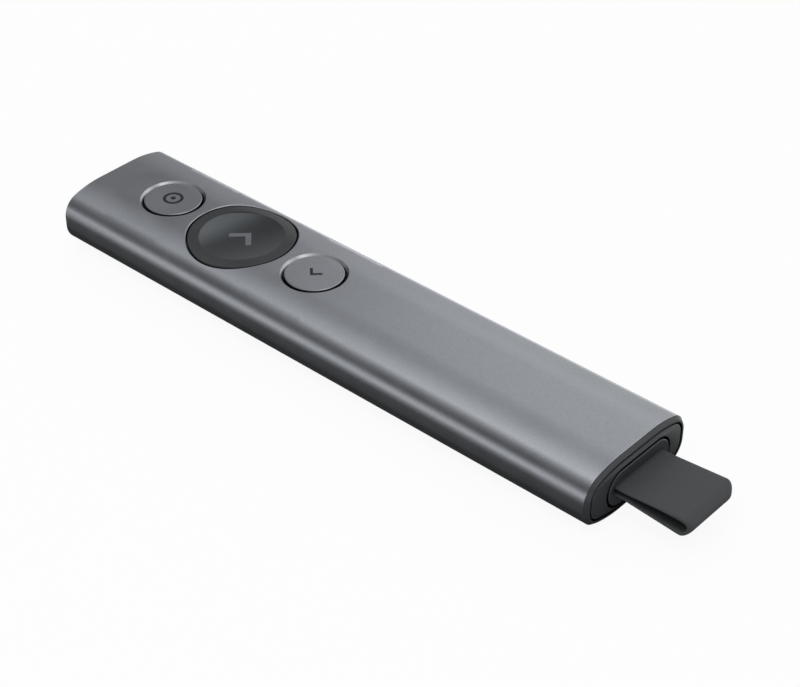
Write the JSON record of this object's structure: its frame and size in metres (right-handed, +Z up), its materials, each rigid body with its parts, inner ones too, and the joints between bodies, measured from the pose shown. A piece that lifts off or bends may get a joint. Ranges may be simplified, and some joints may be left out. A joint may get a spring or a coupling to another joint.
{
  "type": "presentation clicker",
  "caption": "Slim wireless presentation clicker: crowned aluminium tube with round push buttons, and a pull-out USB receiver with a silicone strap in its tail.",
  "frame": {"origin": "middle of the flat strip along the underside, halfway along the body, on the surface it rests on", "axes": "+Y along the body to the nose end (the strap is at -Y), +Z up through the buttons, +X to the right with the nose pointing away"},
  "size_m": [0.0282, 0.1468, 0.0121],
  "materials": {
    "anodised_aluminium": "bead-blasted satin anodising",
    "dark_plastic": "fine matte moulding",
    "satin_black": "satin painted moulding",
    "chassis_plastic": "matte moulding",
    "silicone": "matte silicone",
    "foam": "open-cell foam",
    "steel": "plain steel",
    "contact_gold": "gold plate",
    "board": "solder mask",
    "chip": "moulded package",
    "white_plastic": "moulded insulator",
    "frosted": "frosted light guide",
    "cell_foil": "laminated foil",
    "lead_red": "wire insulation"
  },
  "bodies": {
    "remote": {"sleeve": "anodised_aluminium", "nose_cap": "dark_plastic", "tail_bezel": "dark_plastic", "tail_plate": "dark_plastic", "receiver_bay": "chassis_plastic", "tray": "chassis_plastic", "button_frame": "chassis_plastic", "battery_foam": "foam", "battery_tape": "foam", "tail_screws": "steel", "cartridge_screws": "steel", "bay_springs": "steel", "port_shell": "steel", "vibration_motor": "steel", "crystal": "steel", "main_board": "board", "radio_chip": "chip", "motion_sensor": "chip", "charging_chip": "chip", "pointer_switch": "chip", "next_switch": "chip", "back_switch": "chip", "port_tongue": "chip", "board_passives": "white_plastic", "chip_antenna": "white_plastic", "battery_connector": "white_plastic", "status_led": "white_plastic", "light_pipe": "frosted", "battery_cell": "cell_foil", "battery_leads": "lead_red"},
    "pointer_button": {"pointer_cap": "anodised_aluminium", "pointer_plunger": "chassis_plastic"},
    "next_button": {"next_cap": "satin_black", "next_plunger": "chassis_plastic"},
    "back_button": {"back_cap": "anodised_aluminium", "back_plunger": "chassis_plastic"},
    "receiver": {"receiver_cap": "dark_plastic", "receiver_housing": "dark_plastic", "plug_shell": "steel", "plug_tongue": "white_plastic", "plug_contacts": "contact_gold", "receiver_board": "board", "receiver_chip": "chip", "strap": "silicone", "strap_pin": "steel"}
  },
  "joints": [
    {"name": "pointer_press", "type": "slide", "parent": "remote", "child": "pointer_button", "axis": [0, 0, -1], "range_m": [0, 0.0004], "stiffness_N_per_m": 2000},
    {"name": "next_press", "type": "slide", "parent": "remote", "child": "next_button", "axis": [0, 0, -1], "range_m": [0, 0.0004], "stiffness_N_per_m": 2500},
    {"name": "back_press", "type": "slide", "parent": "remote", "child": "back_button", "axis": [0, 0, -1], "range_m": [0, 0.0004], "stiffness_N_per_m": 2000},
    {"name": "receiver_pull", "type": "slide", "parent": "remote", "child": "receiver", "axis": [0, -1, 0], "range_m": [0, 0.03]}
  ]
}
